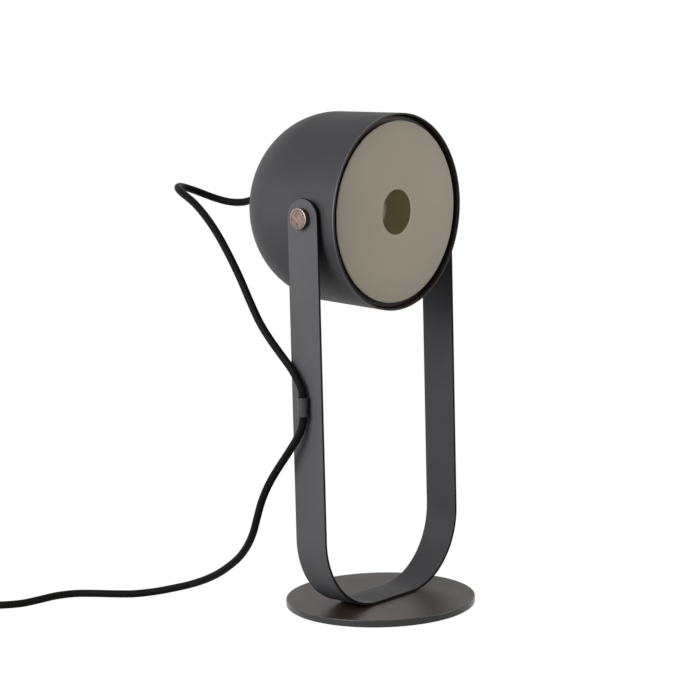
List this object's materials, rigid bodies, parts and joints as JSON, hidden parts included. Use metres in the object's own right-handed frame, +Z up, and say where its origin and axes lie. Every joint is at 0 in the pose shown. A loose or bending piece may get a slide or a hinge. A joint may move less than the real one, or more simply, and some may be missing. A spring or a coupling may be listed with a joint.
{
  "type": "table lamp",
  "caption": "Table lamp with a drum-shaped, dome-backed head that tilts between the arms of a bent steel strap on a round base, with corded inline switch and plug.",
  "frame": {"origin": "centre of the underside of the base, on the surface that the lamp stands on", "axes": "+Z up, the head faces -Y, the tilt axis lies along X"},
  "size_m": [0.4732, 0.365, 0.3887],
  "materials": {
    "anthracite_paint": "matt fine-textured powder coat on aluminium",
    "strap_paint": "satin grey paint on steel",
    "base_paint": "matt warm grey paint on steel",
    "aged_brass": "brushed, dulled brass",
    "zinc_steel": "zinc plated",
    "contact_brass": "plain",
    "opal_plastic": "opal, smoke-beige when off",
    "opal_glass": "opal glass bulb, off",
    "black_plastic": "fine moulded texture",
    "black_nylon": "satin",
    "black_textile": "fine braid over a round flex",
    "rubber_pad": "foamed"
  },
  "bodies": {
    "stand": {"base_plate": "base_paint", "base_pad": "rubber_pad", "base_nut_left": "zinc_steel", "base_nut_right": "zinc_steel", "weld_stud_left": "zinc_steel", "weld_stud_right": "zinc_steel", "bracket": "strap_paint", "cord_guide": "black_plastic", "guide_screw": "zinc_steel", "cord_head_run": "black_textile", "cord_main_run": "black_textile", "cord_switch_run": "black_textile", "cord_coil": "black_textile", "cord_plug_run": "black_textile", "cord_tie": "black_nylon", "switch_lower_shell": "black_plastic", "switch_upper_shell": "black_plastic", "switch_screw_1": "zinc_steel", "switch_screw_2": "zinc_steel", "plug_body": "black_plastic", "plug_pin_left": "zinc_steel", "plug_pin_right": "zinc_steel"},
    "head": {"shade": "anthracite_paint", "diffuser_ring": "anthracite_paint", "diffuser": "opal_plastic", "nipple": "zinc_steel", "nipple_locknut": "zinc_steel", "strain_relief": "black_plastic", "inner_lead": "black_textile", "holder_cap": "black_plastic", "holder_body": "black_plastic", "holder_shell": "contact_brass", "holder_contact": "contact_brass", "bulb_globe": "opal_glass", "bulb_cap": "zinc_steel", "spacer_left": "black_nylon", "spacer_right": "black_nylon", "pivot_nut_left": "zinc_steel", "pivot_nut_right": "zinc_steel"},
    "thumb_screw_left": {"knob_left": "aged_brass"},
    "thumb_screw_right": {"knob_right": "aged_brass"},
    "rocker": {"switch_rocker": "black_plastic"}
  },
  "joints": [
    {"name": "head_tilt", "type": "hinge", "parent": "stand", "child": "head", "pos_m": [0, 0, 0.313], "axis": [1, 0, 0], "range_deg": [-90, 90], "deforming": ["cord_head_run"]},
    {"name": "screw_turn_left", "type": "hinge", "parent": "head", "child": "thumb_screw_left", "pos_m": [-0.0805, 0, 0.313], "axis": [-1, 0, 0], "range_deg": [0, 360]},
    {"name": "screw_turn_right", "type": "hinge", "parent": "head", "child": "thumb_screw_right", "pos_m": [0.0805, 0, 0.313], "axis": [1, 0, 0], "range_deg": [0, 360]},
    {"name": "rocker_tip", "type": "hinge", "parent": "stand", "child": "rocker", "pos_m": [-0.27138, 0.2171, 0.0134], "axis": [0.7632, -0.6461, 0], "range_deg": [-16, 0]}
  ]
}
